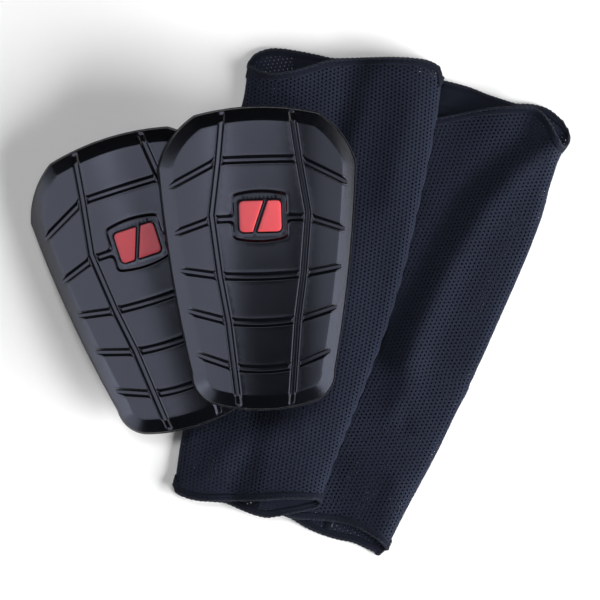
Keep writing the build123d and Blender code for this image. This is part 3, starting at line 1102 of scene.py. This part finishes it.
def back_seam(sleeve):
    """A flat seam inside the back layer: a ladder of stitches over a narrow strip, closed at both ends."""
    low = sleeve.mouth_line("back", "ankle", SEAM_X) + 3
    high = sleeve.mouth_line("back", "top", SEAM_X) - 3
    v = np.arange(low, high, 0.55)
    rings = []
    for across, off in SEAM_PROFILE:
        u = np.full(len(v), SEAM_X + across)
        rise = off * (1 + 0.18 * np.sin(2 * math.pi * v / 2.2))
        rings.append(np.column_stack([u, v, sleeve.layers(u, v)[0] + rise]))
    points = np.stack(rings, axis=1).reshape(-1, 3)
    around = len(SEAM_PROFILE)
    faces = strip_faces(len(v), around).tolist()
    faces.append(list(range(around)))
    faces.append(list(range(len(points) - around, len(points))))
    return points, turned_out(points, faces), points[:, :2]


def pocket_panel(sleeve, left, right):
    """The smooth inner panel that makes the pocket, between the two layers, with a wide turned hem."""
    thickness = 0.55
    below_mouth = 3.6
    hem = 11.0
    u, t = np.meshgrid(np.linspace(left, right, 44), np.linspace(0, 1, 140), indexing="ij")
    top = sleeve.mouth_line("back", "top", u) - below_mouth
    v = POCKET_BOTTOM + (top - POCKET_BOTTOM) * t
    back, front = (h.reshape(u.shape) for h in sleeve.layers(u.ravel(), v.ravel()))
    middle = back + 0.7 + (front - back - 0.7) * 0.45 * (1 - smoothstep(0.86, 1, t))
    swell = 1.0 + 1.6 * (1 - smoothstep(hem - 0.8, hem, top - v))
    middle = middle - 0.5 * bump((top - v - hem - 0.6) / 1.6)
    upper = np.stack([u, v, middle + thickness / 2 * swell], axis=-1)
    lower = np.stack([u, v, middle - thickness / 2], axis=-1)
    rows, columns = u.shape
    count = rows * columns
    points = np.vstack([upper.reshape(-1, 3), lower.reshape(-1, 3)])
    sheet = strip_faces(rows, columns, closed_around=False)
    index = np.arange(count).reshape(rows, columns)
    rim = np.concatenate([index[:-1, 0], index[-1, :-1], index[:0:-1, -1], index[0, :0:-1]])
    faces = np.vstack([sheet, sheet[:, ::-1] + count, skirt(rim, rim + count)]).tolist()
    return points, turned_out(points, faces), points[:, :2]


def make_sleeve(sleeve, lean, panel_sides):
    body = sleeve.body

    def piece(name, made, material, slot):
        points, faces, uvs = made
        return make_piece(body, name, points, faces, sleeve.place, material, uvs=uvs)

    for end in ("top", "ankle"):
        hem = mouth_band(sleeve, end, HEM_PROFILE, 1.0)
        piece(end + "_hem", hem, hem_cloth, "sleeve_hem")
        rope = mouth_band(sleeve, end, [(0, 0)] * ROPE_STEPS, 0.45, twist=rope_pair)
        piece(end + "_overlock", rope, thread, "sleeve_thread")
    piece("back_seam", back_seam(sleeve), hem_cloth, "sleeve_thread")
    panel = piece("pocket_panel", pocket_panel(sleeve, *panel_sides), shade_darkened_panel_cloth, "pocket_lining")
    tube = piece("tube", perforated_cloth(sleeve, lean), mesh_cloth, "sleeve_mesh")


# The outer edge of each mouth's two layers: places across the sleeve, and heights up the leg
RIGHT_MOUTHS = {
    ("top", "front"): [
        (-58, 126), (-50, 121), (-40, 118), (-25, 115.5), (-9.7, 119.1), (0.8, 124.7), (10, 130.3),
        (17.2, 134.2), (25.5, 137.7), (32, 140.2), (42, 143), (49, 142), (56, 137), (62.5, 131),
        (67, 127.5), (70.2, 128),
    ],
    ("top", "back"): [
        (-58, 126), (-50, 137), (-40, 140), (-20, 141), (-8, 142.2), (5, 142.8), (14, 142.2),
        (27, 142.2), (36, 142.5), (44, 144.8), (52.8, 145.7), (57.5, 145), (62.5, 143), (68.3, 138.2),
        (69.8, 134.5), (70.2, 128),
    ],
    ("ankle", "front"): [
        (-44.6, -136), (-27, -137.6), (-16, -137.8), (-4.5, -135.2), (5, -132.8), (17, -131),
        (32, -132.8), (41, -135.8), (44.8, -138),
    ],
    ("ankle", "back"): [
        (-44.6, -136), (-36, -137.5), (-15.4, -138.7), (-7, -140.7), (1, -141.5), (16, -141.3),
        (23, -140.4), (38, -141.3), (43.6, -141.2), (44.8, -138),
    ],
}
LEFT_MOUTHS = {
    ("top", "front"): [
        (-58.2, 121), (-56.5, 120.7), (-54, 120), (-50, 119), (-42.5, 119.2), (-31.5, 123),
        (-20.3, 128.8), (-10.6, 134), (0, 137.4), (15, 141.2), (30, 144.5), (46, 146.5), (53, 145.8),
        (56.5, 143.5), (58.2, 139.5),
    ],
    ("top", "back"): [
        (-58.2, 121), (-57.2, 124), (-55, 128), (-51.4, 131), (-47.6, 133.1), (-39.4, 135),
        (-31, 135.6), (-18, 136), (-9.4, 136), (0, 138), (11, 140.8), (27.3, 144.3), (40, 146.5),
        (48.2, 147.2), (53, 146.3), (56.5, 143.9), (58.2, 139.5),
    ],
    ("ankle", "front"): [
        (-46.3, -136.5), (-44.5, -139.8), (-40, -141.4), (-30, -142), (-14, -139), (7, -133.8),
        (24, -129), (36, -126.9), (41, -126.6), (43.4, -128.5),
    ],
    ("ankle", "back"): [
        (-46.3, -136.5), (-44.3, -140.4), (-39.5, -142.2), (-30.8, -142.6), (-22.5, -141.4),
        (-14.3, -140.4), (-5, -141.9), (8.2, -143.5), (13, -143.3), (20.7, -140.6), (27, -137.8),
        (35, -134.2), (41, -131), (43.4, -128.5),
    ],
}


def make_sleeves():
    straight = [(-141, 0), (0, 0), (141, 0)]
    right_sleeve = Sleeve(
        "right_sleeve",
        mouth_place=(0.0, 138.0),
        mouths=RIGHT_MOUTHS,
        gapes=[("top", 30, 45, 2.5, 14), ("top", 62, 20, 4.5, 16), ("ankle", 16, 26, 1.5, 10)],
        folds=[
            ([(60, 126), (47, 105), (35, 78), (26, 36), (18, -24)], 10, 3.4),
            ([(45, 128), (31, 105), (18, 78), (11, 38), (3, -24)], 10, -2.6),
            ([(-3, 126), (-8, 70), (-12, 0)], 23, -3.8),
            ([(24, -24), (25, -52)], 9, 1.8),
            ([(28, -54), (30, -62)], 6, -1.2),
            ([(-4, -100), (4, -118), (10, -138)], 17, -3.4),
            ([(38, -100), (40, -130)], 9, 1.8),
        ],
        bulges=(
            straight,
            [(-141, 0), (-134, 0.2), (-110, 2), (-84, 5.3), (-34, 10.2), (20, 12.9), (70, 14.4),
             (111, 11.4), (121, 10.9), (131, 12.2), (145, 12)],
        ),
    )
    left_sleeve = Sleeve(
        "left_sleeve",
        mouth_place=(-20.0, 137.0),
        mouths=LEFT_MOUTHS,
        gapes=[("top", -32, 34, 4.5, 12), ("ankle", 20, 26, 2.2, 9)],
        folds=[
            ([(-31, -129), (-20, -108), (21, -87)], 8, 1.2),
            ([(-20, -140), (-17, -116), (-10, -96)], 12, 2.4),
            ([(-24, 118), (-22, 95)], 13, 1.2),
            ([(-7, 128), (-6, 90)], 12, 1.4),
            ([(24, 130), (26, 60)], 14, -1.6),
            ([(46, 120), (45, 60)], 9, 0.9),
            ([(32, 20), (26, -60)], 14, 1.0),
            ([(0, -30), (-10, -80)], 13, -1.2),
        ],
        bulges=(
            [(-145, 1.5), (-108, 1.7), (-50, 0.6), (0, 0), (141, 0)],
            [(-145, -2), (-119, -2), (-93.5, 0.3), (-55, 4.6), (-17, 8.2), (20, 9.1), (57, 7.6),
             (94, 5.5), (130, 1.7), (145, 0)],
        ),
        under=right_sleeve,
    )
    make_sleeve(right_sleeve, -4.0, (-40, 44))
    make_sleeve(left_sleeve, 6.3, (-31, 44))


make_sleeves()
make_guards()


# ------------------------------------------------------------------ camera, lights, table

def soft_box(name, azimuth, tilt, width, height, radiance, colour, glossy):
    """A rectangular lamp 3 m from the object, at a compass bearing and a tilt from the vertical. A glossy
    one only shows in reflections, and any other only lights surfaces."""
    data = bpy.data.lights.new(name, "AREA")
    data.shape = "RECTANGLE"
    data.size = width
    data.size_y = height
    data.energy = radiance * math.pi * width * height
    data.color = colour
    lamp = bpy.data.objects.new(name, data)
    turn = Matrix.Rotation(math.radians(-azimuth), 3, "Z") @ Matrix.Rotation(math.radians(-tilt), 3, "X")
    outward = turn @ Vector((0, 0, 1))
    lamp.location = outward * 3
    lamp.rotation_euler = outward.to_track_quat("Z", "Y").to_euler()
    lamp.visible_camera = False
    lamp.visible_glossy = glossy
    lamp.visible_diffuse = not glossy
    bpy.context.scene.collection.objects.link(lamp)


def make_camera():
    view_width, view_height = 0.36, 0.015
    distance = 2.5
    middle = (cad_low + cad_high) / 2
    camera = bpy.data.objects.new("camera", bpy.data.cameras.new("camera"))
    bpy.context.scene.collection.objects.link(camera)
    camera.location = (middle.x + 0.0004, middle.y + 0.00065, distance)
    camera.data.sensor_width = 36
    camera.data.lens = 36 * (distance - view_height) / view_width
    camera.data.clip_end = 50
    bpy.context.scene.camera = camera


def make_table():
    """A plain pale table and the soft studio light around it."""
    nodes = Nodes("table", (0.95, 0.95, 0.95), 0.9, specular=0.1)
    mesh = bpy.data.meshes.new("table")
    reach = 2.2
    corners = [(-reach, -reach, 0), (reach, -reach, 0), (reach, reach, 0), (-reach, reach, 0)]
    mesh.from_pydata(corners, [], [(0, 1, 2, 3)])
    mesh.materials.append(nodes.material)
    table = bpy.data.objects.new("table", mesh)
    bpy.context.scene.collection.objects.link(table)

    # The room is white to the eye, and all but dark to the surfaces in it.
    world = bpy.data.worlds.new("studio")
    world.use_nodes = True
    tree = world.node_tree
    room = tree.nodes["Background"]
    room.inputs["Color"].default_value = (1, 1, 1, 1)
    path = tree.nodes.new("ShaderNodeLightPath")
    brightness = tree.nodes.new("ShaderNodeMapRange")
    brightness.inputs["To Min"].default_value = 0.02
    brightness.inputs["To Max"].default_value = 1.0
    tree.links.new(path.outputs["Is Camera Ray"], brightness.inputs["Value"])
    tree.links.new(brightness.outputs["Result"], room.inputs["Strength"])
    bpy.context.scene.world = world

    white, sky = (1.0, 1.0, 1.0), (0.71, 0.76, 1.0)
    soft_box("key", 112, 73, 2.0, 1.0, 45, white, glossy=False)
    soft_box("fill", 270, 60, 2.0, 1.0, 2.6, white, glossy=False)
    soft_box("overhead", 0, 25, 2.4, 1.0, 4.4, white, glossy=False)
    soft_box("north_card", 0, 19, 2.4, 1.6, 2.3, sky, glossy=True)
    soft_box("west_card", 262, 52, 2.8, 5.6, 2.4, sky, glossy=True)
    soft_box("south_west_card", 232, 78, 1.6, 2.0, 2.0, sky, glossy=True)
    soft_box("east_card", 98, 46, 2.8, 1.4, 1.6, sky, glossy=True)
    soft_box("east_low_card", 98, 80, 2.8, 2.0, 3.6, sky, glossy=True)


make_camera()
make_table()
bpy.context.scene.view_settings.view_transform = "Standard"
